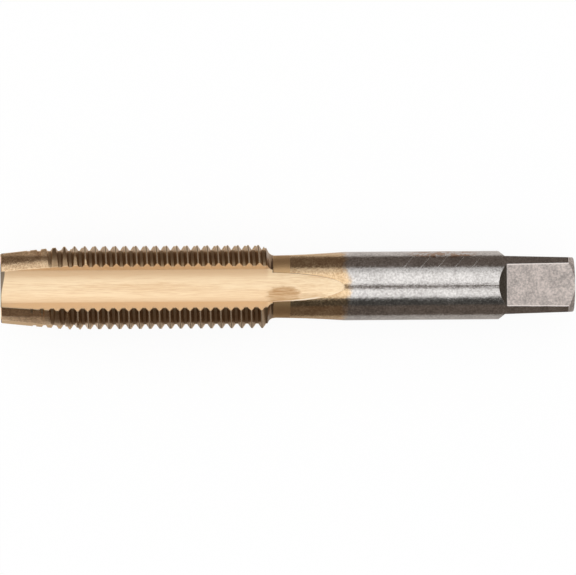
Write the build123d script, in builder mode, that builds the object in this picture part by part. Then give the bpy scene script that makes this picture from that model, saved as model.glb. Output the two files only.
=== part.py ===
"""Hand thread tap, M14 x 1.5, four straight flutes, square drive.

A tap is one bar of tool steel. The blank is turned first: a lead, the thread
diameter, a step down to the shank, and an end chamfer. The lead is ground land by
land, four flutes are milled from the front end and run out on the shank, the thread
is ground as one right-hand helical groove, and four flats make the square drive.

The tool is shaped upright, its axis along +Z and its cutting end at the bottom, which
is how its turned and milled profiles are drawn. The last step lays it down along +X,
one flute facing up, with the crests of two lands touching the surface at height zero.
"""

import os
from math import cos, radians, sin, sqrt, tan

from build123d import *

os.makedirs("parts", exist_ok=True)

# ------------------------------------------------------------ driving dimensions, mm
# Thread: a 60 degree vee with a narrow flat crest and a wider flat root
MAJOR_RADIUS = 7.0
ROOT_RADIUS = 6.2
PITCH = 1.5
CREST_FLAT = PITCH / 8
FLANK_ANGLE = 30.0
GROOVE_START = 2.925
GROOVE_TURNS = 25
GROOVE_SPAN = 56.0
GROOVE_OVERCUT = 0.1

# Lead: the tapered teeth that start the cut, each lower at its heel
LEAD_FRONT_RADIUS = 5.73
LEAD_LENGTH = 10.0
LEAD_RELIEF = 0.45
LEAD_ZONE = 16.0
LAND_HALF_ANGLE = 15.0
FRONT_CHAMFER = 0.15

# Step from the thread down to the shank
THREAD_END = 38.9
STEP_CORNER = 39.75
STEP_FILLET = 1.3
SHANK_RADIUS = 5.06

# Flutes: a shallow hollow floor and two slanted faces, one to the cutting edge and one
# to the heel, run out by a large milling wheel
FLUTES = 4
WEB_RADIUS = 4.0
FLOOR_RADIUS = 5.0
FLOOR_OFFSET = 0.2
FLOOR_CORNER_RADIUS = 0.35
CUTTING_EDGE_OFFSET = 3.37
CUTTING_FACE_ANGLE = 35.0
HEEL_EDGE_OFFSET = 3.45
HEEL_FACE_ANGLE = 34.0
FLUTE_STRAIGHT = 38.1
WHEEL_RADIUS = 77.0
WHEEL_SWING = 16.0

# Square drive: two pairs of flats, ground one pair at a time and a little unequal
LENGTH = 84.6
SHOULDER_ANGLE = 42.0
UP_SHOULDER_START = 73.3
UP_FLATS = (7.92, 7.74)
SIDE_SHOULDER_START = 73.45
SIDE_FLATS = (8.58, 8.02)
END_CHAMFER_LENGTH = 0.95
END_FACE_RADIUS = 3.9

# Free room that a cutting tool has around the bar
AIR = 2.0

# -------------------------------------------------------------- worked-out dimensions
flank_slope = tan(radians(FLANK_ANGLE))
groove_mouth_radius = MAJOR_RADIUS + GROOVE_OVERCUT
groove_root_half = (PITCH - CREST_FLAT) / 2 - (MAJOR_RADIUS - ROOT_RADIUS) * flank_slope
groove_mouth_half = groove_root_half + (groove_mouth_radius - ROOT_RADIUS) * flank_slope

lead_slope = (MAJOR_RADIUS - LEAD_FRONT_RADIUS) / LEAD_LENGTH
land_half_angle = radians(LAND_HALF_ANGLE)
# The cone's axis is shifted square to the land's middle. The cutting edge keeps the full
# lead radius, and the heel of the same land is lower by the relief.
lead_shift = LEAD_RELIEF / (2 * sin(land_half_angle))
cutting_edge_turn = radians(90) - land_half_angle
cone_front_radius = sqrt(
    LEAD_FRONT_RADIUS**2
    + lead_shift**2
    - 2 * LEAD_FRONT_RADIUS * lead_shift * cos(cutting_edge_turn)
)

cutting_edge_height = sqrt(MAJOR_RADIUS**2 - CUTTING_EDGE_OFFSET**2)
heel_edge_height = sqrt(MAJOR_RADIUS**2 - HEEL_EDGE_OFFSET**2)
axis_height = max(cutting_edge_height, heel_edge_height)


def cutting_face(height):
    """Point on a flute's cutting face at a height above the tool's axis."""
    rise = height - cutting_edge_height
    return (height, CUTTING_EDGE_OFFSET + rise * tan(radians(CUTTING_FACE_ANGLE)))


def heel_face(height):
    """Point on a flute's heel face at a height above the tool's axis."""
    rise = height - heel_edge_height
    return (height, -HEEL_EDGE_OFFSET - rise * tan(radians(HEEL_FACE_ANGLE)))


# ------------------------------------------------------------------ turned bar
with BuildPart() as bar:
    with BuildSketch(Plane.XZ) as bar_profile:
        with BuildLine():
            Polyline(
                (0, LEAD_ZONE),
                (MAJOR_RADIUS, LEAD_ZONE),
                (MAJOR_RADIUS, THREAD_END),
                (SHANK_RADIUS, STEP_CORNER),
                (SHANK_RADIUS, LENGTH - END_CHAMFER_LENGTH),
                (END_FACE_RADIUS, LENGTH),
                (0, LENGTH),
                close=True,
            )
        make_face()
        step_corner = bar_profile.vertices().sort_by_distance((SHANK_RADIUS, STEP_CORNER, 0))[0]
        fillet(step_corner, STEP_FILLET)
    revolve(axis=Axis.Z)

# ------------------------------------------------------------------ relieved lead
# Each land's lead is a quarter of a cone whose axis is shifted sideways, so that the
# tapered teeth fall away from the cutting edge towards the heel.
with BuildPart() as lead_quarter:
    cone_shift = lead_shift * cos(radians(180 / FLUTES))
    with Locations((cone_shift, -cone_shift, 0)):
        Cone(
            bottom_radius=cone_front_radius,
            top_radius=cone_front_radius + lead_slope * LEAD_ZONE,
            height=LEAD_ZONE,
            align=(Align.CENTER, Align.CENTER, Align.MIN),
        )
    Cylinder(
        radius=MAJOR_RADIUS,
        height=LEAD_ZONE,
        align=(Align.CENTER, Align.CENTER, Align.MIN),
        mode=Mode.INTERSECT,
    )
    Box(
        MAJOR_RADIUS + AIR,
        MAJOR_RADIUS + AIR,
        LEAD_ZONE,
        align=(Align.MIN, Align.MIN, Align.MIN),
        mode=Mode.INTERSECT,
    )
    front_rim = lead_quarter.edges().filter_by(GeomType.CIRCLE).sort_by(Axis.Z)[0]
    chamfer(front_rim, FRONT_CHAMFER)

# ------------------------------------------------------------------ flute cutter
# The milling wheel travels along the bar, then lifts on its own radius. Its section is
# the wedge between the two faces, rounded off by the circle of the hollow floor.
with BuildPart() as flute_cutter:
    with BuildSketch(Plane.XY.offset(-AIR)) as flute_section:
        with BuildLine():
            Polyline(
                cutting_face(WEB_RADIUS / 2),
                cutting_face(MAJOR_RADIUS + AIR),
                heel_face(MAJOR_RADIUS + AIR),
                heel_face(WEB_RADIUS / 2),
                close=True,
            )
        make_face()
        with Locations((WEB_RADIUS + FLOOR_RADIUS, FLOOR_OFFSET)):
            Circle(FLOOR_RADIUS, mode=Mode.INTERSECT)
        floor_corners = flute_section.vertices().sort_by(Axis.X)[:2]
        fillet(floor_corners, FLOOR_CORNER_RADIUS)
    extrude(amount=AIR + FLUTE_STRAIGHT)
    lifting_face = flute_cutter.faces().sort_by(Axis.Z)[-1]
    wheel_axis = Axis((WEB_RADIUS + WHEEL_RADIUS, 0, FLUTE_STRAIGHT), (0, 1, 0))
    revolve(lifting_face, axis=wheel_axis, revolution_arc=WHEEL_SWING)

# ------------------------------------------------------------------ thread groove
# The helix only meets metal at the lands, so the groove is cut as one short stretch of
# the helix for each land and turn, each ending in the open flute on both sides.
with BuildPart() as groove_stretch:
    with BuildLine():
        Helix(pitch=PITCH, height=PITCH * GROOVE_SPAN / 360, radius=ROOT_RADIUS)
    with BuildSketch(Plane(origin=(0, 0, 0), x_dir=(1, 0, 0), z_dir=(0, 1, 0))):
        with BuildLine():
            Polyline(
                (ROOT_RADIUS, -groove_root_half),
                (groove_mouth_radius, -groove_mouth_half),
                (groove_mouth_radius, groove_mouth_half),
                (ROOT_RADIUS, groove_root_half),
                close=True,
            )
        make_face()
    sweep(is_frenet=True)

groove_places = []
for turn in range(GROOVE_TURNS):
    for land in range(FLUTES):
        start_angle = (land + 0.5) * 360 / FLUTES - GROOVE_SPAN / 2
        height = GROOVE_START + PITCH * (turn + start_angle / 360)
        groove_places.append(Location((0, 0, height), (0, 0, start_angle)))

# ------------------------------------------------------------------ square drive cutter
# One wheel pass for each flat: a slanted shoulder down from the shank, then a flat that
# sinks a little more towards the end.
with BuildPart() as flat_cutters:
    shoulder_slope = 1 / tan(radians(SHOULDER_ANGLE))
    for first_angle, shoulder_start, (front_flats, end_flats) in (
        (0, UP_SHOULDER_START, UP_FLATS),
        (90, SIDE_SHOULDER_START, SIDE_FLATS),
    ):
        flats_start = shoulder_start + (SHANK_RADIUS - front_flats / 2) * shoulder_slope
        for angle in (first_angle, first_angle + 180):
            outward = Vector(1, 0, 0).rotate(Axis.Z, angle)
            across = Vector(0, -1, 0).rotate(Axis.Z, angle)
            with BuildSketch(Plane(origin=(0, 0, 0), x_dir=outward, z_dir=across)):
                with BuildLine():
                    Polyline(
                        (SHANK_RADIUS + AIR, shoulder_start - AIR * shoulder_slope),
                        (front_flats / 2, flats_start),
                        (end_flats / 2, LENGTH),
                        (end_flats / 2, LENGTH + AIR),
                        (SHANK_RADIUS + AIR, LENGTH + AIR),
                        close=True,
                    )
                make_face()
            extrude(amount=SHANK_RADIUS + AIR, both=True)

# ------------------------------------------------------------------ the whole tool
with BuildPart() as upright_tap:
    add(bar.part)
    with PolarLocations(0, FLUTES):
        add(lead_quarter.part)
    with PolarLocations(0, FLUTES):
        add(flute_cutter.part, mode=Mode.SUBTRACT)
    add(flat_cutters.part, mode=Mode.SUBTRACT)
    with Locations(*groove_places):
        add(groove_stretch.part, mode=Mode.SUBTRACT)

lying_plane = Plane(origin=(-LENGTH / 2, 0, axis_height), x_dir=(0, 0, 1), z_dir=(1, 0, 0))
with BuildPart(lying_plane) as tap:
    add(upright_tap.part)

tap.part.label = "tap"
export_step(tap.part, "parts/tap.step")
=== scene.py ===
# %% [markdown]
# # A hand tap, part coated and part bare
#
# A thread tap is one bar of tool steel that cuts an internal thread. Its form is
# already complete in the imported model: lead, thread, flutes, shank and square are one
# solid. What is left to do in Blender is the surface, the table it lies on, the light
# around it and the camera above it.
#
# The whole lesson is about one metal object, so most of it is about two things: how
# the finish changes along the bar, and what the metal has to reflect.

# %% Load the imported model
import math

import bmesh
import bpy
from mathutils import Matrix, Vector


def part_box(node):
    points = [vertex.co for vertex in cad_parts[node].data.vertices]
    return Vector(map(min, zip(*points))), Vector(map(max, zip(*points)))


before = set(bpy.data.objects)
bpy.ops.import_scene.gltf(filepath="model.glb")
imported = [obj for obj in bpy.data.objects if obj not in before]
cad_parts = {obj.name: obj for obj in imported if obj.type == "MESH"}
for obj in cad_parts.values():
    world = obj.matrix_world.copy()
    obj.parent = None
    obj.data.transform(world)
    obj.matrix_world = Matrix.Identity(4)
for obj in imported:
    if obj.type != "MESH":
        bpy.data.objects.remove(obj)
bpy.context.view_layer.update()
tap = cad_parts["tap"]
print("tap triangles:", len(tap.data.polygons))

# %% [markdown]
# ## Where things are on the tap
#
# The finish is laid out from a few stations along the bar, measured in millimetres
# from the cutting end, and from the radius about the bar's axis. The axis runs along
# X at half the tap's height, because the part lies on two of its lands.

# %% Stations along the bar
MM = 0.001
tap_low, tap_high = (Vector(corner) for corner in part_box("tap"))
FRONT_X = tap_low.x
AXIS_HEIGHT = (tap_low.z + tap_high.z) / 2
TAP_LENGTH = (tap_high.x - tap_low.x) / MM

LEAD_END = 10.0
THREAD_END = 39.0
NECK_START = 40.1
NECK_END = 42.6
COAT_END = 50.7
SHANK_RADIUS = 5.06
SHOULDER_START = 73.3
SQUARE_START = 74.4
THREAD_CREST_RADIUS = 7.0

# The mesh is made of flat facets, whose middles lie a little below the true round
FACET_DEPTH = 0.02

# Half width of a flute at the shank's surface, and how fast it opens with radius
FLUTE_HALF_WIDTH = 2.3
FLUTE_OPENING = 0.57
print("tap length in mm:", round(TAP_LENGTH, 2), "axis height in mm:", round(AXIS_HEIGHT / MM, 3))

# %% [markdown]
# ## A short vocabulary for shader nodes
#
# A finish made of nodes is easier to read when each line says one thing. These
# helpers add one node, fill its inputs with numbers or links, and hand back the
# output socket, so a recipe can be written like arithmetic.


# %% Node helpers
def add_node(tree, kind, **settings):
    """Adds a node of the given kind and sets its plain properties."""
    node = tree.nodes.new(kind)
    for name, value in settings.items():
        setattr(node, name, value)
    return node


def feed(tree, socket, value):
    """Links a socket, or sets it when the value is a number or a tuple."""
    if isinstance(value, bpy.types.NodeSocket):
        tree.links.new(value, socket)
    else:
        socket.default_value = value


def math_node(tree, operation, first, second=0.0, clamp=False):
    node = add_node(tree, "ShaderNodeMath", operation=operation, use_clamp=clamp)
    feed(tree, node.inputs[0], first)
    feed(tree, node.inputs[1], second)
    return node.outputs[0]


def times(tree, first, second):
    return math_node(tree, "MULTIPLY", first, second)


def plus(tree, first, second):
    return math_node(tree, "ADD", first, second)


def minus(tree, first, second):
    return math_node(tree, "SUBTRACT", first, second)


def soft_step(tree, value, low, high):
    """0 below low, 1 above high, and a smooth ramp between; high below low turns it round."""
    node = add_node(tree, "ShaderNodeMapRange", interpolation_type="SMOOTHSTEP")
    feed(tree, node.inputs["Value"], value)
    if low < high:
        start, end, from_value, to_value = low, high, 0.0, 1.0
    else:
        start, end, from_value, to_value = high, low, 1.0, 0.0
    node.inputs["From Min"].default_value = start
    node.inputs["From Max"].default_value = end
    node.inputs["To Min"].default_value = from_value
    node.inputs["To Max"].default_value = to_value
    return node.outputs["Result"]


def rescale(tree, value, low, high):
    """Turns a 0 to 1 value into low to high."""
    node = add_node(tree, "ShaderNodeMapRange", clamp=True)
    feed(tree, node.inputs["Value"], value)
    feed(tree, node.inputs["To Min"], low)
    feed(tree, node.inputs["To Max"], high)
    return node.outputs["Result"]


def blend_values(tree, factor, first, second):
    node = add_node(tree, "ShaderNodeMix", data_type="FLOAT")
    feed(tree, node.inputs[0], factor)
    feed(tree, node.inputs[2], first)
    feed(tree, node.inputs[3], second)
    return node.outputs[0]


def blend_colours(tree, factor, first, second):
    node = add_node(tree, "ShaderNodeMix", data_type="RGBA")
    feed(tree, node.inputs[0], factor)
    feed(tree, node.inputs[6], first)
    feed(tree, node.inputs[7], second)
    return node.outputs[2]


def stretched_noise(tree, position, scale, detail=3.0, roughness=0.55):
    """Noise with its own grain size along X, Y and Z, in grains per millimetre."""
    mapping = add_node(tree, "ShaderNodeMapping")
    feed(tree, mapping.inputs["Vector"], position)
    mapping.inputs["Scale"].default_value = scale
    noise = add_node(tree, "ShaderNodeTexNoise")
    feed(tree, noise.inputs["Vector"], mapping.outputs["Vector"])
    noise.inputs["Scale"].default_value = 1.0
    noise.inputs["Detail"].default_value = detail
    noise.inputs["Roughness"].default_value = roughness
    return noise.outputs[0]


def new_group(name, inputs, outputs):
    """An empty shader group with named sockets; returns the tree, its inputs and its outputs."""
    tree = bpy.data.node_groups.new(name, "ShaderNodeTree")
    for socket_name, socket_type, default in inputs:
        socket = tree.interface.new_socket(socket_name, in_out="INPUT", socket_type=socket_type)
        socket.default_value = default
    for socket_name, socket_type in outputs:
        tree.interface.new_socket(socket_name, in_out="OUTPUT", socket_type=socket_type)
    return tree, tree.nodes.new("NodeGroupInput").outputs, tree.nodes.new("NodeGroupOutput").inputs


def place_group(tree, group, **values):
    """Puts a group in a tree and fills its inputs; returns its outputs."""
    node = add_node(tree, "ShaderNodeGroup", node_tree=group)
    for name, value in values.items():
        feed(tree, node.inputs[name.replace("_", " ").capitalize()], value)
    return node.outputs


# %% [markdown]
# ## Bar coordinates
#
# Turned and ground work is easiest to describe the way a machinist would: how far
# along the bar, how far from its axis, and whether the spot is inside a flute. This
# group works those out once, in millimetres, from the object's own coordinates, so
# the pattern stays on the metal wherever the tap is put.
#
# A flute's wall is a slanted plane, so "inside a flute" is a comparison: the smaller
# of the two sideways distances is less than the flute's half width at that radius.

# %% Bar coordinates group
FLOAT = "NodeSocketFloat"
VECTOR = "NodeSocketVector"

# Softness of a flute's wall, and how far past the thread the flutes count as straight
WALL_FADE = 0.15
STRAIGHT_MARGIN = 1.0
# Up to near the square, whatever lies this far below the shank's round is the floor of
# a flute, a run-out or the middle of the front face
RUN_OUT_DEPTH = 0.08
SQUARE_MARGIN = 2


def make_bar_coordinates():
    outputs = (
        ("Position", VECTOR),
        ("Along", FLOAT),
        ("Sideways", FLOAT),
        ("Nearest", FLOAT),
        ("Radius", FLOAT),
        ("Flute", FLOAT),
    )
    tree, _, out = new_group("bar coordinates", (), outputs)
    coordinates = add_node(tree, "ShaderNodeTexCoord")
    centred = add_node(tree, "ShaderNodeMapping")
    feed(tree, centred.inputs["Vector"], coordinates.outputs["Object"])
    centred.inputs["Location"].default_value = (-FRONT_X / MM, 0, -AXIS_HEIGHT / MM)
    centred.inputs["Scale"].default_value = (1 / MM, 1 / MM, 1 / MM)
    position = centred.outputs["Vector"]
    parts = add_node(tree, "ShaderNodeSeparateXYZ")
    feed(tree, parts.inputs["Vector"], position)
    along, sideways, upwards = parts.outputs
    squares = plus(tree, times(tree, sideways, sideways), times(tree, upwards, upwards))
    radius = math_node(tree, "SQRT", squares)
    nearest = math_node(
        tree,
        "MINIMUM",
        math_node(tree, "ABSOLUTE", sideways),
        math_node(tree, "ABSOLUTE", upwards),
    )
    beyond_shank = minus(tree, radius, SHANK_RADIUS)
    half_width = plus(tree, times(tree, beyond_shank, FLUTE_OPENING), FLUTE_HALF_WIDTH)
    between_walls = soft_step(tree, minus(tree, half_width, nearest), -WALL_FADE, 0.0)
    in_the_thread = math_node(tree, "LESS_THAN", along, THREAD_END + STRAIGHT_MARGIN)
    under_the_shank = soft_step(
        tree, radius, SHANK_RADIUS - FACET_DEPTH, SHANK_RADIUS - RUN_OUT_DEPTH
    )
    before_the_square = math_node(tree, "LESS_THAN", along, SQUARE_START - SQUARE_MARGIN)
    run_out = times(tree, under_the_shank, before_the_square)
    straight = times(tree, between_walls, in_the_thread)
    flute = math_node(tree, "MAXIMUM", straight, run_out)
    feed(tree, out["Position"], position)
    feed(tree, out["Along"], along)
    feed(tree, out["Sideways"], sideways)
    feed(tree, out["Nearest"], nearest)
    feed(tree, out["Radius"], radius)
    feed(tree, out["Flute"], flute)
    return tree


bar_coordinates = make_bar_coordinates()
print("group made:", bar_coordinates.name)

# %% [markdown]
# ## Grinding streaks
#
# The flute floor is ground lengthwise, which leaves fine lines that run with the bar.
# Noise stretched twenty times longer than it is wide gives those lines, and a second,
# broader noise groups them into bands. The group puts them out twice: lines and bands
# together as a value to tint with, and the lines alone as a height in millimetres for
# the bump.


# %% Grinding streaks group
LINE_STRETCH = 0.05
BAND_SCALE = (0.035, 1.1, 1.1)
BAND_SHARE = 0.45
STREAK_CONTRAST = (0.34, 0.60)


def make_grinding_streaks():
    inputs = (
        ("Position", VECTOR, (0, 0, 0)),
        ("Lines per mm", FLOAT, 8.0),
        ("Depth", FLOAT, 0.002),
    )
    tree, source, out = new_group("grinding streaks", inputs, (("Tone", FLOAT), ("Height", FLOAT)))
    fine_scale = add_node(tree, "ShaderNodeCombineXYZ")
    feed(tree, fine_scale.inputs["X"], times(tree, source["Lines per mm"], LINE_STRETCH))
    feed(tree, fine_scale.inputs["Y"], source["Lines per mm"])
    feed(tree, fine_scale.inputs["Z"], source["Lines per mm"])
    scaled = add_node(tree, "ShaderNodeVectorMath", operation="MULTIPLY")
    feed(tree, scaled.inputs[0], source["Position"])
    feed(tree, scaled.inputs[1], fine_scale.outputs["Vector"])
    fine = stretched_noise(tree, scaled.outputs["Vector"], (1, 1, 1), detail=4.0, roughness=0.6)
    broad = stretched_noise(tree, source["Position"], BAND_SCALE, detail=2.0)
    both = blend_values(tree, BAND_SHARE, fine, broad)
    feed(tree, out["Tone"], soft_step(tree, both, *STREAK_CONTRAST))
    feed(tree, out["Height"], times(tree, fine, source["Depth"]))
    return tree


grinding_streaks = make_grinding_streaks()
print("group made:", grinding_streaks.name)

# %% [markdown]
# ## Blasted grain
#
# Hardened tools are often blasted clean, which leaves a fine pitted grain. Two sizes of
# noise make it: a fine one for the pits, and a broad one for the clouds that blasting
# leaves where it stays a little longer.


# %% Blasted grain group
CLOUD_SCALE = (0.17, 0.17, 0.17)
CLOUD_SHARE = 0.35
GRAIN_CONTRAST = (0.32, 0.68)


def make_blasted_grain():
    inputs = (
        ("Position", VECTOR, (0, 0, 0)),
        ("Grains per mm", FLOAT, 3.0),
        ("Depth", FLOAT, 0.004),
    )
    tree, source, out = new_group("blasted grain", inputs, (("Tone", FLOAT), ("Height", FLOAT)))
    scaled = add_node(tree, "ShaderNodeVectorMath", operation="SCALE")
    feed(tree, scaled.inputs[0], source["Position"])
    feed(tree, scaled.inputs["Scale"], source["Grains per mm"])
    grain = stretched_noise(tree, scaled.outputs["Vector"], (1, 1, 1), detail=3.0, roughness=0.65)
    cloud = stretched_noise(tree, scaled.outputs["Vector"], CLOUD_SCALE, detail=2.0)
    both = blend_values(tree, CLOUD_SHARE, grain, cloud)
    feed(tree, out["Tone"], soft_step(tree, both, *GRAIN_CONTRAST))
    feed(tree, out["Height"], times(tree, grain, source["Depth"]))
    return tree


blasted_grain = make_blasted_grain()
print("group made:", blasted_grain.name)

# %% [markdown]
# ## Patches and worn places
#
# A brown patch sits where the flute runs out on the shank, and a used tool has its own
# marks: here a few brown rubs farther back. Both are ovals with a ragged rim, so one
# group makes them: it measures how far a spot is from the oval's middle, counted in
# half sizes, and lets noise push the rim in and out.


# %% Oval patch group
RIM_NOISE_SCALE = (0.8, 2.4, 2.4)
RIM_RAGGEDNESS = 0.4
PATCH_FADE = (1.15, 0.7)


def make_oval_patch():
    inputs = (
        ("Position", VECTOR, (0, 0, 0)),
        ("Middle", VECTOR, (0, 0, 0)),
        ("Half size", VECTOR, (1, 1, 1)),
    )
    tree, source, out = new_group("oval patch", inputs, (("Patch", FLOAT),))
    offset = add_node(tree, "ShaderNodeVectorMath", operation="SUBTRACT")
    feed(tree, offset.inputs[0], source["Position"])
    feed(tree, offset.inputs[1], source["Middle"])
    shrunk = add_node(tree, "ShaderNodeVectorMath", operation="DIVIDE")
    feed(tree, shrunk.inputs[0], offset.outputs["Vector"])
    feed(tree, shrunk.inputs[1], source["Half size"])
    reach = add_node(tree, "ShaderNodeVectorMath", operation="LENGTH")
    feed(tree, reach.inputs[0], shrunk.outputs["Vector"])
    rim = stretched_noise(tree, source["Position"], RIM_NOISE_SCALE, detail=4.0, roughness=0.65)
    push = rescale(tree, rim, -RIM_RAGGEDNESS, RIM_RAGGEDNESS)
    ragged_reach = plus(tree, reach.outputs["Value"], push)
    feed(tree, out["Patch"], soft_step(tree, ragged_reach, *PATCH_FADE))
    return tree


oval_patch = make_oval_patch()
BROWN_PATCH_MIDDLE = (41.7, -1.4, 4.3)
BROWN_PATCH_SIZE = (2.6, 1.5, 2.4)
TAIL_MIDDLE = (45.2, -1.55, 4.6)
TAIL_SIZE = (3.4, 0.55, 2.0)
RUBS_MIDDLE = (65.3, 4.75, 2.0)
RUBS_SIZE = (5.0, 0.9, 2.2)
print("group made:", oval_patch.name)

# %% [markdown]
# ## Slanted scratches
#
# The shank carries a row of short bright scratches on one side, one every two and a
# half millimetres. They lean far more than the spiral that a turning tool leaves on a
# bar this thick, so they are drawn as plain scratches, and what made them is left open.
# A saw-tooth of the distance along the bar, leaned over by the sideways place, is zero
# on each line.


# %% Slanted scratches group
SCRATCH_STEP = 2.53
FIRST_SCRATCH = 56.86
SCRATCHES_START = 58.5
SCRATCHES_END = 70.6
SCRATCH_END_FADE = 0.4
SCRATCH_LEAN = 0.92
# Half a scratch's width, counted in steps: where it starts to fade, and where it is gone
SCRATCH_CORE = 0.012
SCRATCH_RIM = 0.035
# The side of the shank they lie on, from one end of a scratch to the other
SCRATCH_INNER_END = (2.3, 2.7)
SCRATCH_OUTER_END = (4.6, 4.0)


def make_slanted_scratches():
    inputs = (("Along", FLOAT, 0.0), ("Sideways", FLOAT, 0.0))
    tree, source, out = new_group("slanted scratches", inputs, (("Scratches", FLOAT),))
    lean = times(tree, source["Sideways"], SCRATCH_LEAN)
    leaned = minus(tree, source["Along"], lean)
    steps = math_node(tree, "DIVIDE", minus(tree, leaned, FIRST_SCRATCH), SCRATCH_STEP)
    cycle = math_node(tree, "FRACT", plus(tree, steps, 0.5))
    from_line = math_node(tree, "ABSOLUTE", minus(tree, cycle, 0.5))
    line = soft_step(tree, from_line, SCRATCH_RIM, SCRATCH_CORE)
    along_reach = times(
        tree,
        soft_step(tree, source["Along"], SCRATCHES_START, SCRATCHES_START + SCRATCH_END_FADE),
        soft_step(tree, source["Along"], SCRATCHES_END, SCRATCHES_END - SCRATCH_END_FADE),
    )
    side_reach = times(
        tree,
        soft_step(tree, source["Sideways"], *SCRATCH_INNER_END),
        soft_step(tree, source["Sideways"], *SCRATCH_OUTER_END),
    )
    reach = times(tree, along_reach, side_reach)
    feed(tree, out["Scratches"], times(tree, line, reach))
    return tree


slanted_scratches = make_slanted_scratches()
print("group made:", slanted_scratches.name)

# %% [markdown]
# ## One finish for the whole bar
#
# The cutting end carries a hard straw-gold coat that fades out a little behind the
# flutes, and the shank behind it is bare steel. One material covers both, because the
# coat has no edge that a knife could follow: its end is a soft, ragged line, and the
# grain of the blasted steel runs on underneath it.
#
# Both finishes are metals, so their colour is mostly the colour of their reflection.
# The patterns change base colour, roughness and bump, and also how metallic the flutes
# and the rubbed crests are. The shader's other sockets stay plain numbers.
#
# The recipe comes in steps. Zones say where each finish lies, marks say where a brown
# patch and the traces of use lie, and then colour, roughness and height are each worked
# out from them.

# %% [markdown]
# ## Zones: where the coat ends
#
# A coat like this is usually put on in a chamber, and whatever holds the shank there
# leaves a blurred line. Noise pushes that line to and fro, and along the middle of the
# top and of the underside the coat reaches a little further, like a tongue. Each pair
# of numbers given to a soft step is where a zone begins to fade in and where it is full.


# %% Zone of the coat
COAT_RAGGEDNESS = 1.1
COAT_FADE = 0.7
TONGUE_LENGTH = 0.75
TONGUE_MIDDLE = -0.3
TONGUE_SIDES = (3.6, 0.3)


def find_coat(tree, bar, ragged):
    off_middle = math_node(tree, "ABSOLUTE", minus(tree, bar["Sideways"], TONGUE_MIDDLE))
    tongue = times(tree, soft_step(tree, off_middle, *TONGUE_SIDES), TONGUE_LENGTH)
    wander = rescale(tree, ragged, -COAT_RAGGEDNESS, COAT_RAGGEDNESS)
    station = minus(tree, plus(tree, bar["Along"], wander), tongue)
    return soft_step(tree, station, COAT_END + COAT_FADE, COAT_END - COAT_FADE)


print("the coat fades over", 2 * COAT_FADE, "mm at station", COAT_END)

# %% [markdown]
# ## Zones: thread, lead and neck
#
# Thread grooves are darker and the crests are rubbed matte, so the radius tells them
# apart. On the lead the crests are ground off and the grooves get shallow, so their
# darkening fades out there. The neck and the step beside it are turned surfaces, each
# between two stations.


# %% Zones of the cutting end
TURNED_FADE = 0.1
NECK_RIM_FADE = 0.04
THREAD_FADE = 0.6
LEAD_RAMP = (LEAD_END - 1.5, LEAD_END - 4.0)
GROOVE_RAMP = (THREAD_CREST_RADIUS - 0.08, THREAD_CREST_RADIUS - 0.25)
CREST_RAMP = (THREAD_CREST_RADIUS - 0.04, THREAD_CREST_RADIUS - 0.015)
WALL_RAMP = (0.5, 2.5)


def find_cutting_end(tree, bar, zones):
    along, radius, flute = bar["Along"], bar["Radius"], bar["Flute"]
    off_flute = minus(tree, 1.0, flute)
    thread = soft_step(tree, along, THREAD_END + THREAD_FADE, THREAD_END)
    threaded_land = times(tree, thread, off_flute)

    neck_front = soft_step(tree, along, NECK_START - TURNED_FADE, NECK_START + TURNED_FADE)
    neck_rear = soft_step(tree, along, NECK_END + NECK_RIM_FADE, NECK_END - NECK_RIM_FADE)
    zones["neck"] = times(tree, times(tree, neck_front, neck_rear), off_flute)

    step_front = soft_step(tree, along, THREAD_END - TURNED_FADE, THREAD_END + TURNED_FADE)
    step_rear = soft_step(tree, along, NECK_START + TURNED_FADE, NECK_START - TURNED_FADE)
    zones["step"] = times(tree, times(tree, step_front, step_rear), off_flute)

    lead = soft_step(tree, along, *LEAD_RAMP)
    zones["lead"] = times(tree, lead, off_flute)

    groove = times(tree, soft_step(tree, radius, *GROOVE_RAMP), threaded_land)
    zones["groove"] = times(tree, groove, minus(tree, 1.0, zones["lead"]))

    zones["crest"] = times(tree, soft_step(tree, radius, *CREST_RAMP), threaded_land)

    wall = times(tree, flute, soft_step(tree, bar["Nearest"], *WALL_RAMP))
    zones["wall"] = times(tree, wall, thread)


print("the neck runs from station", NECK_START, "to", NECK_END)

# %% [markdown]
# ## Zones: the edges of a flute
#
# Two thin zones make a flute look cut into the bar. Its mouth at the front of the tap
# carries painted shade: it is darker, up to a slanted line. Where it runs out on the
# shank, the rim on the near side has lost its coat, and a painted highlight makes it
# shine, so the zone is a thin ring of radius just under the shank's surface.


# %% Zones of the flute's edges
MOUTH_SLANT = (-1.3, 2.6)
MOUTH_PAINTED_SHADE_LENGTH = (0.12, 0.65)
MOUTH_PAINTED_SHADE_FADE = 0.05
RIM_RING_BOTTOM = (SHANK_RADIUS - 0.16, SHANK_RADIUS - 0.10)
BELOW_SHANK = (SHANK_RADIUS - FACET_DEPTH, SHANK_RADIUS - 0.05)
RIM_NEAR_SIDE = (-1.0, -1.5)
RIM_FRONT = (NECK_START - 0.2, NECK_START)
RIM_REAR = (47.5, 46.0)


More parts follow.
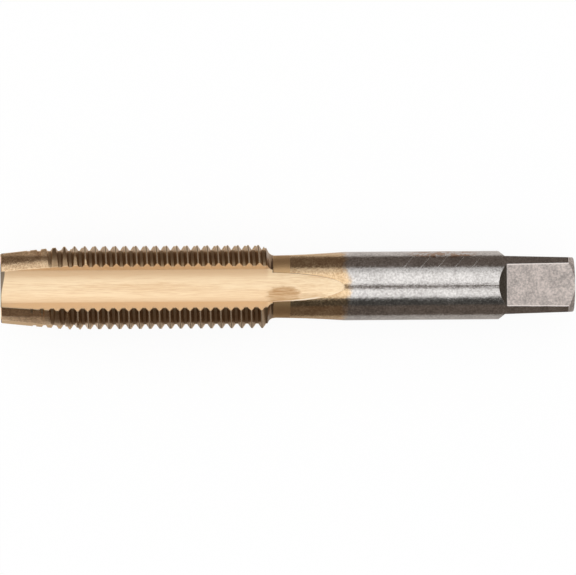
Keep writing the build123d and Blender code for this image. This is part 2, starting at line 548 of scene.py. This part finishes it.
def find_flute_edges(tree, bar, zones):
    along, sideways, radius = bar["Along"], bar["Sideways"], bar["Radius"]
    slant = soft_step(tree, sideways, *MOUTH_SLANT)
    shade_reach = rescale(tree, slant, *MOUTH_PAINTED_SHADE_LENGTH)
    inside = minus(tree, shade_reach, along)
    # Painted shade: the mouth of each flute is darkened up to a slanted line
    mouth_shade = soft_step(tree, inside, -MOUTH_PAINTED_SHADE_FADE, MOUTH_PAINTED_SHADE_FADE)
    zones["mouth_shade"] = times(tree, mouth_shade, bar["Flute"])

    rim_ring = times(
        tree,
        soft_step(tree, radius, *RIM_RING_BOTTOM),
        soft_step(tree, radius, *BELOW_SHANK),
    )
    near_side_highlight = soft_step(tree, sideways, *RIM_NEAR_SIDE)
    rim_length = times(
        tree, soft_step(tree, along, *RIM_FRONT), soft_step(tree, along, *RIM_REAR)
    )
    # Worn rim with a painted highlight along the near side of the run-out
    zones["worn_rim"] = times(tree, times(tree, rim_ring, near_side_highlight), rim_length)


print("the worn, highlighted rim is full from station", RIM_FRONT[1], "to", RIM_REAR[1])

# %% [markdown]
# ## Zones: shoulders and flats of the square
#
# The square's flats and the slanted shoulders in front of them are ground, and both lie
# below the shank's round. So they are found by radius and station alone, whichever way
# a flat faces. The chamfer and the end face lie below it too, and share the finish of
# the flats. A flat's sharp rim, where it meets the round corners, is a narrow ring of
# radius. It is worn pale and also carries a painted highlight.


# %% Zones of the square
SHOULDER_FRONT = (SHOULDER_START - 0.2, SHOULDER_START - 0.1)
SHOULDER_REAR = (SQUARE_START + 0.16, SQUARE_START + 0.1)
FLAT_FRONT = (SQUARE_START, SQUARE_START + 0.3)
FLAT_RIM_RING = (SHANK_RADIUS - 0.14, SHANK_RADIUS - 0.09)


def find_square(tree, bar, zones):
    along, radius = bar["Along"], bar["Radius"]
    below_shank = soft_step(tree, radius, *BELOW_SHANK)
    shoulder = times(
        tree,
        soft_step(tree, along, *SHOULDER_FRONT),
        soft_step(tree, along, *SHOULDER_REAR),
    )
    zones["shoulder"] = times(tree, shoulder, below_shank)
    zones["flat"] = times(tree, soft_step(tree, along, *FLAT_FRONT), below_shank)
    near_corner = soft_step(tree, radius, *FLAT_RIM_RING)
    # Painted highlight along the worn rim of each flat
    zones["flat_rim"] = times(tree, zones["flat"], near_corner)


print("the flats start at station", SQUARE_START)

# %% [markdown]
# ## Marks: a brown patch, rubs and scratches
#
# A brown patch sits where the flute runs out, with a thin tail behind it, and it is
# stronger on the darker of the grinding lines. Brown rubs lie on one side of the shank,
# broken up by noise, and the slanted scratches lie near them.


# %% Marks
TAIL_STRENGTH = 0.6
BROWN_PATCH_ON_LINES = (0.95, 0.5)
RUB_BREAKS = (0.44, 0.52)


def find_marks(tree, bar, tones):
    position = bar["Position"]
    stain = place_group(
        tree, oval_patch, Position=position, Middle=BROWN_PATCH_MIDDLE, Half_size=BROWN_PATCH_SIZE
    )["Patch"]
    tail = place_group(
        tree, oval_patch, Position=position, Middle=TAIL_MIDDLE, Half_size=TAIL_SIZE
    )["Patch"]
    stain = math_node(tree, "MAXIMUM", stain, times(tree, tail, TAIL_STRENGTH))
    stain = times(tree, stain, bar["Flute"])
    rubs = place_group(
        tree, oval_patch, Position=position, Middle=RUBS_MIDDLE, Half_size=RUBS_SIZE
    )["Patch"]
    scratches = place_group(
        tree, slanted_scratches, Along=bar["Along"], Sideways=bar["Sideways"]
    )["Scratches"]
    return {
        "stain": times(tree, stain, rescale(tree, tones["streaks"], *BROWN_PATCH_ON_LINES)),
        "rubs": times(tree, rubs, soft_step(tree, tones["ragged"], *RUB_BREAKS)),
        "scratches": scratches,
    }


# %% [markdown]
# ## Colour
#
# Metals give their reflections a tint, and that tint is what these colours set. The
# wide finishes have a pale and a darker tone that their own pattern runs between, and
# the small zones have one tone each. The zones are then laid over each other, once for
# the coated end and once for the bare steel, and the two are joined at the ragged end
# of the coat.

# %% Colours of the finishes
COAT_PALE = (0.80, 0.60, 0.38, 1)
COAT_BROWN = (0.54, 0.36, 0.20, 1)
COAT_NECK = (0.70, 0.46, 0.24, 1)
COAT_STEP = (0.30, 0.20, 0.12, 1)
COAT_CREST = (0.28, 0.20, 0.13, 1)
LEAD_PALE = (0.97, 0.72, 0.46, 1)
LEAD_BROWN = (0.58, 0.38, 0.22, 1)
# Darker tone for the thread grooves
GROOVE_DARK = (0.36, 0.24, 0.14, 1)
# Worn rim where a flute runs out, with a painted highlight
RIM_HIGHLIGHT = (0.95, 0.82, 0.66, 1)
FLUTE_PALE = (0.99, 0.79, 0.53, 1)
FLUTE_TAN = (0.84, 0.60, 0.36, 1)
FLUTE_WALL = (0.82, 0.585, 0.355, 1)
# Brown patch where the flute runs out on the shank
FLUTE_BROWN_PATCH = (0.48, 0.26, 0.10, 1)
# Painted shade at the front mouth of each flute
MOUTH_PAINTED_SHADE = (0.26, 0.20, 0.14, 1)
STEEL_PALE = (0.70, 0.675, 0.655, 1)
STEEL_DARK = (0.42, 0.40, 0.385, 1)
RUBBED_BROWN = (0.36, 0.24, 0.17, 1)
SHOULDER_DARK = (0.24, 0.235, 0.21, 1)
SQUARE_PALE = (0.74, 0.655, 0.61, 1)
SQUARE_DARK = (0.37, 0.335, 0.315, 1)
# Worn rim of a flat, with a painted highlight
SQUARE_RIM_HIGHLIGHT = (0.90, 0.83, 0.79, 1)
GROOVE_DARKENING = 0.7


def mix_flute_colour(tree, zones, marks, tones):
    colour = blend_colours(tree, tones["streaks"], FLUTE_TAN, FLUTE_PALE)
    colour = blend_colours(tree, zones["wall"], colour, FLUTE_WALL)
    colour = blend_colours(tree, marks["stain"], colour, FLUTE_BROWN_PATCH)
    return blend_colours(tree, zones["mouth_shade"], colour, MOUTH_PAINTED_SHADE)


def mix_coat_colour(tree, bar, zones, marks, tones):
    body = blend_colours(tree, tones["grain"], COAT_BROWN, COAT_PALE)
    lead = blend_colours(tree, tones["grain"], LEAD_BROWN, LEAD_PALE)
    colour = blend_colours(tree, zones["lead"], body, lead)
    flute_colour = mix_flute_colour(tree, zones, marks, tones)
    colour = blend_colours(tree, bar["Flute"], colour, flute_colour)
    colour = blend_colours(tree, zones["worn_rim"], colour, RIM_HIGHLIGHT)
    colour = blend_colours(tree, zones["neck"], colour, COAT_NECK)
    colour = blend_colours(tree, zones["step"], colour, COAT_STEP)
    # The thread grooves are darkened, and less so where they get shallow
    darkened_groove = times(tree, zones["groove"], GROOVE_DARKENING)
    colour = blend_colours(tree, darkened_groove, colour, GROOVE_DARK)
    return blend_colours(tree, zones["crest"], colour, COAT_CREST)


def mix_steel_colour(tree, zones, marks, tones):
    colour = blend_colours(tree, tones["grain"], STEEL_DARK, STEEL_PALE)
    colour = blend_colours(tree, marks["rubs"], colour, RUBBED_BROWN)
    square = blend_colours(tree, tones["grain"], SQUARE_DARK, SQUARE_PALE)
    square = blend_colours(tree, zones["flat_rim"], square, SQUARE_RIM_HIGHLIGHT)
    colour = blend_colours(tree, zones["flat"], colour, square)
    return blend_colours(tree, zones["shoulder"], colour, SHOULDER_DARK)


# %% [markdown]
# ## Roughness
#
# Roughness decides how sharp a reflection is, and with that how softly the dark bands
# end. The blasted body is fairly smooth. The flute, the flats and the rubbed crests are
# matte, and the outer edges of the lead have been rubbed dull. The grooves and the neck
# lie in between.


# %% Roughness of the finishes
# A pair is the roughness at the dark and at the pale tone of the finish's own pattern
BODY_ROUGHNESS = (0.15, 0.24)
FLUTE_ROUGHNESS = (0.58, 0.50)
FLAT_ROUGHNESS = (0.56, 0.44)
NECK_ROUGHNESS = 0.42
LEAD_ROUGHNESS = 0.21
DULL_EDGE_ROUGHNESS = 0.60
DULL_EDGE_MIDDLE = 0.27
DULL_EDGE_RAMP = (4.25, 4.7)
GROOVE_ROUGHNESS = 0.34
CREST_ROUGHNESS = 0.55
SCRATCH_ROUGHNESS = 0.48


def mix_roughness(tree, bar, zones, marks, tones):
    body = rescale(tree, tones["grain"], *BODY_ROUGHNESS)
    body = blend_values(tree, zones["neck"], body, NECK_ROUGHNESS)
    from_middle = math_node(tree, "ABSOLUTE", minus(tree, bar["Sideways"], DULL_EDGE_MIDDLE))
    dull_edge = soft_step(tree, from_middle, *DULL_EDGE_RAMP)
    lead = blend_values(tree, dull_edge, LEAD_ROUGHNESS, DULL_EDGE_ROUGHNESS)
    body = blend_values(tree, zones["lead"], body, lead)
    flute = rescale(tree, tones["streaks"], *FLUTE_ROUGHNESS)
    roughness = blend_values(tree, bar["Flute"], body, flute)
    roughness = blend_values(tree, zones["groove"], roughness, GROOVE_ROUGHNESS)
    roughness = blend_values(tree, zones["crest"], roughness, CREST_ROUGHNESS)
    roughness = blend_values(tree, marks["scratches"], roughness, SCRATCH_ROUGHNESS)
    flat = rescale(tree, tones["grain"], *FLAT_ROUGHNESS)
    return blend_values(tree, zones["flat"], roughness, flat)


# %% [markdown]
# ## Height
#
# The bump is given in millimetres, so its depth can be read like a drawing. The body
# has the blasted grain with shallow dents below it, the turned neck keeps only a fifth
# of the grain, and the flute has the grinding lines instead.


# %% Height of the finishes
DENT_DEPTH = 0.028
NECK_SMOOTHING = 0.8


def mix_height(tree, bar, zones, tones):
    grain_left = minus(tree, 1.0, times(tree, zones["neck"], NECK_SMOOTHING))
    body = times(tree, tones["grain_height"], grain_left)
    body = plus(tree, body, times(tree, tones["ragged"], DENT_DEPTH))
    return blend_values(tree, bar["Flute"], body, tones["streak_height"])


# %% [markdown]
# ## Putting the finish together
#
# The ground flutes and the rubbed crests are matte, so there the surface is only half
# metallic, and part of what it gives back is plain colour. Everything else is full
# metal.


# %% The finish of the bar
MATTE_METALLIC = 0.5
RAGGED_SCALE = (0.9, 0.9, 0.9)


def make_bar_finish():
    material = bpy.data.materials.new("coated_tool_steel")
    material.use_nodes = True
    tree = material.node_tree
    shader = tree.nodes["Principled BSDF"]

    bar = place_group(tree, bar_coordinates)
    position = bar["Position"]
    streaks = place_group(tree, grinding_streaks, Position=position)
    grain = place_group(tree, blasted_grain, Position=position)
    tones = {
        "ragged": stretched_noise(tree, position, RAGGED_SCALE, detail=4.0, roughness=0.7),
        "streaks": streaks["Tone"],
        "streak_height": streaks["Height"],
        "grain": grain["Tone"],
        "grain_height": grain["Height"],
    }

    zones = {"coat": find_coat(tree, bar, tones["ragged"])}
    find_cutting_end(tree, bar, zones)
    find_flute_edges(tree, bar, zones)
    find_square(tree, bar, zones)
    marks = find_marks(tree, bar, tones)

    steel = mix_steel_colour(tree, zones, marks, tones)
    coat = mix_coat_colour(tree, bar, zones, marks, tones)
    feed(tree, shader.inputs["Base Color"], blend_colours(tree, zones["coat"], steel, coat))

    matte = math_node(tree, "MAXIMUM", bar["Flute"], zones["crest"])
    feed(tree, shader.inputs["Metallic"], blend_values(tree, matte, 1.0, MATTE_METALLIC))
    feed(tree, shader.inputs["Roughness"], mix_roughness(tree, bar, zones, marks, tones))

    bump = add_node(tree, "ShaderNodeBump")
    bump.inputs["Distance"].default_value = MM
    feed(tree, bump.inputs["Height"], mix_height(tree, bar, zones, tones))
    feed(tree, shader.inputs["Normal"], bump.outputs["Normal"])
    return material, sorted(zones) + sorted(marks)


bar_finish, patterns = make_bar_finish()
for slot in tap.material_slots:
    slot.material = bar_finish
print("finish:", bar_finish.name, "on", len(tap.material_slots), "slot")
print("patterns in it:", ", ".join(patterns))

# %% [markdown]
# ## The table
#
# A plain white table, large enough that no view sees past it near the tool. Part of it
# is diffuse and keeps the soft shadow that seats the tap. The rest is plain white to
# the lens and to reflections, the way white paper looks when it is lit from behind.


# %% Table
TABLE_HALF_WIDTH = 3.0
TABLE_GREY = (0.9, 0.9, 0.9, 1)
TABLE_ROUGHNESS = 0.9
TABLE_SHINE = 0.1
TABLE_WHITENESS = 0.92


def make_table():
    mesh = bmesh.new()
    bmesh.ops.create_grid(mesh, x_segments=1, y_segments=1, size=TABLE_HALF_WIDTH)
    data = bpy.data.meshes.new("table")
    mesh.to_mesh(data)
    mesh.free()
    table = bpy.data.objects.new("table", data)
    bpy.context.scene.collection.objects.link(table)
    material = bpy.data.materials.new("pale_table")
    material.use_nodes = True
    tree = material.node_tree
    shader = tree.nodes["Principled BSDF"]
    shader.inputs["Base Color"].default_value = TABLE_GREY
    shader.inputs["Roughness"].default_value = TABLE_ROUGHNESS
    shader.inputs["Specular IOR Level"].default_value = TABLE_SHINE
    white = add_node(tree, "ShaderNodeEmission")
    rays = add_node(tree, "ShaderNodeLightPath")
    seen = plus(tree, rays.outputs["Is Camera Ray"], rays.outputs["Is Glossy Ray"])
    seen = math_node(tree, "ADD", seen, rays.outputs["Is Transmission Ray"], clamp=True)
    mix = add_node(tree, "ShaderNodeMixShader")
    feed(tree, mix.inputs["Fac"], times(tree, seen, TABLE_WHITENESS))
    feed(tree, mix.inputs[1], shader.outputs["BSDF"])
    feed(tree, mix.inputs[2], white.outputs["Emission"])
    feed(tree, tree.nodes["Material Output"].inputs["Surface"], mix.outputs["Shader"])
    data.materials.append(material)
    return table


table = make_table()
print("table reaches", max(table.dimensions) / 2, "m from the tap")

# %% [markdown]
# ## What the metal sees
#
# Polished metal has almost no look of its own: it shows the room. In a studio that room
# is built out of a big soft light overhead and dark cards standing close on each side.
# The soft light makes the broad bright band along the shank, and the cards make the dark
# bands beside it that give the bar its roundness. A dark gap overhead adds the thin line
# along the middle of the bright band, and darkens the flat that faces up a little.
#
# Grey strips lie on the table along both sides of the tap, as a painted shadow: they
# stand in for the tap's own shade on the table. The bar's outermost edges mirror them,
# which keeps those edges a shade darker than the white table behind.
# The near card is in two tones, black above and brown below, like the dark band it
# makes.
#
# The cards and the painted-shadow strips are seen only by reflections. They cast no
# shadow on the table and block no view of the tap.


# %% Sky and soft light
SKY_STRENGTH = 0.85
PANEL_SIZE = 2.4
PANEL_POWER = 8.5
PANEL_PLACE = (0, 0.15, 1.3)


def make_world():
    world = bpy.data.worlds.new("studio")
    world.use_nodes = True
    background = world.node_tree.nodes["Background"]
    background.inputs["Color"].default_value = (1, 1, 1, 1)
    background.inputs["Strength"].default_value = SKY_STRENGTH
    bpy.context.scene.world = world


def make_soft_light():
    light = bpy.data.lights.new("overhead_panel", "AREA")
    light.shape = "SQUARE"
    light.size = PANEL_SIZE
    light.energy = PANEL_POWER
    panel = bpy.data.objects.new("overhead_panel", light)
    panel.location = PANEL_PLACE
    bpy.context.scene.collection.objects.link(panel)
    return panel


make_world()
soft_light = make_soft_light()
print("soft light", round(soft_light.location.z, 2), "m above the table")


# %% Cards, and strips of painted shadow
def make_card_colour(name, colour):
    material = bpy.data.materials.new(name)
    material.use_nodes = True
    tree = material.node_tree
    tree.nodes.clear()
    glow = add_node(tree, "ShaderNodeEmission")
    glow.inputs["Color"].default_value = colour
    output = add_node(tree, "ShaderNodeOutputMaterial")
    feed(tree, output.inputs["Surface"], glow.outputs["Emission"])
    return material


def make_card(name, low, high, material):
    """A card between two opposite corners, seen by reflections only."""
    mesh = bmesh.new()
    bmesh.ops.create_cube(mesh, size=1.0)
    low, high = Vector(low), Vector(high)
    bmesh.ops.scale(mesh, vec=high - low, verts=mesh.verts)
    bmesh.ops.translate(mesh, vec=(high + low) / 2, verts=mesh.verts)
    data = bpy.data.meshes.new(name)
    mesh.to_mesh(data)
    mesh.free()
    card = bpy.data.objects.new(name, data)
    bpy.context.scene.collection.objects.link(card)
    data.materials.append(material)
    card.visible_camera = False
    card.visible_diffuse = False
    card.visible_shadow = False
    return card


dark_card = make_card_colour("dark_card", (0.15, 0.122, 0.105, 1))
black_card = make_card_colour("black_card", (0.075, 0.073, 0.068, 1))
brown_card = make_card_colour("brown_card", (0.15, 0.12, 0.10, 1))
# Painted shadow: grey strips seen in reflections in place of the tap's shade on the table
pale_shadow_strip = make_card_colour("pale_shadow_strip", (0.74, 0.695, 0.665, 1))
grey_shadow_strip = make_card_colour("grey_shadow_strip", (0.52, 0.49, 0.46, 1))

# %% Where the cards stand, in metres
CARD_GAP = 0.020
CARD_END = 0.065
CARD_THICKNESS = 0.001
FAR_CARD_HEIGHT = 0.019
NEAR_CARD_HEIGHT = 0.030
NEAR_CARD_SPLIT = 0.016
END_CARD_HEIGHT = 0.022
far_side = (CARD_GAP, CARD_GAP + CARD_THICKNESS)
near_side = (-CARD_GAP - CARD_THICKNESS, -CARD_GAP)
make_card(
    "far_card",
    (-CARD_END, far_side[0], 0),
    (CARD_END, far_side[1], FAR_CARD_HEIGHT),
    dark_card,
)
make_card(
    "near_card",
    (-CARD_END, near_side[0], 0),
    (CARD_END, near_side[1], NEAR_CARD_SPLIT),
    brown_card,
)
make_card(
    "near_card_top",
    (-CARD_END, near_side[0], NEAR_CARD_SPLIT),
    (CARD_END, near_side[1], NEAR_CARD_HEIGHT),
    black_card,
)
for side in (-1, 1):
    ends = sorted((side * CARD_END, side * (CARD_END + CARD_THICKNESS)))
    make_card(
        "end_card_left" if side < 0 else "end_card_right",
        (ends[0], -CARD_GAP, 0),
        (ends[1], CARD_GAP, END_CARD_HEIGHT),
        dark_card,
    )

# %% Painted-shadow strips on the table, and the dark gap overhead
SHADOW_STRIP_THICKNESS = 0.0001
SHADOW_STRIP_EDGE = 0.0055
NEAR_SHADOW_STRIP_START = -0.033
# Strips of painted shadow beside the tap, seen only by reflections
make_card(
    "far_shadow_strip",
    (-CARD_END, SHADOW_STRIP_EDGE, 0),
    (CARD_END, CARD_GAP, SHADOW_STRIP_THICKNESS),
    pale_shadow_strip,
)
make_card(
    "near_shadow_strip",
    (NEAR_SHADOW_STRIP_START, -CARD_GAP, 0),
    (CARD_END, -SHADOW_STRIP_EDGE, SHADOW_STRIP_THICKNESS),
    grey_shadow_strip,
)
# Half a metre up, and long enough that its line isn't cut off at either end of the shank
LINE_HEIGHT = 0.5
LINE_HALF_LENGTH = 1.0
LINE_HALF_WIDTH = 0.062
LINE_SHIFT = -0.026
make_card(
    "overhead_gap",
    (-LINE_HALF_LENGTH, LINE_SHIFT - LINE_HALF_WIDTH, LINE_HEIGHT),
    (LINE_HALF_LENGTH, LINE_SHIFT + LINE_HALF_WIDTH, LINE_HEIGHT + CARD_THICKNESS),
    dark_card,
)
print("end cards stand", CARD_END, "m from the middle of the tap")

# %% [markdown]
# ## The camera
#
# The view is from almost straight above, about a metre away, a little towards the
# cutting end. The tap fills the frame from side to side and lies less than half a
# degree off level.

# %% Camera
IMAGE_WIDTH = 576
PIXELS_PER_MM = 6.77
CAMERA_X = -0.033
CAMERA_HEIGHT = 0.985
AIM_X = 0.0001
AIM_Y = -0.00015
TURN_DEGREES = 0.40
SENSOR_WIDTH = 36.0
NEAREST_SEEN = 0.01

camera_data = bpy.data.cameras.new("camera")
camera = bpy.data.objects.new("camera", camera_data)
bpy.context.scene.collection.objects.link(camera)
aim = Vector((AIM_X, AIM_Y, AXIS_HEIGHT))
eye = Vector((CAMERA_X, AIM_Y, AXIS_HEIGHT + CAMERA_HEIGHT))
backwards = (eye - aim).normalized()
rightwards = Vector((0, 1, 0)).cross(backwards).normalized()
upwards = backwards.cross(rightwards)
turn = math.radians(-TURN_DEGREES)
right_turned = rightwards * math.cos(turn) + upwards * math.sin(turn)
up_turned = upwards * math.cos(turn) - rightwards * math.sin(turn)
camera.matrix_world = Matrix(
    (
        (right_turned.x, up_turned.x, backwards.x, eye.x),
        (right_turned.y, up_turned.y, backwards.y, eye.y),
        (right_turned.z, up_turned.z, backwards.z, eye.z),
        (0, 0, 0, 1),
    )
)
frame_width = IMAGE_WIDTH / PIXELS_PER_MM * MM
camera_data.sensor_fit = "HORIZONTAL"
camera_data.sensor_width = SENSOR_WIDTH
camera_data.lens = SENSOR_WIDTH * (eye - aim).length / frame_width
camera_data.clip_start = NEAREST_SEEN
bpy.context.scene.camera = camera
bpy.context.scene.view_settings.view_transform = "Standard"
print("lens in mm:", round(camera_data.lens, 1))
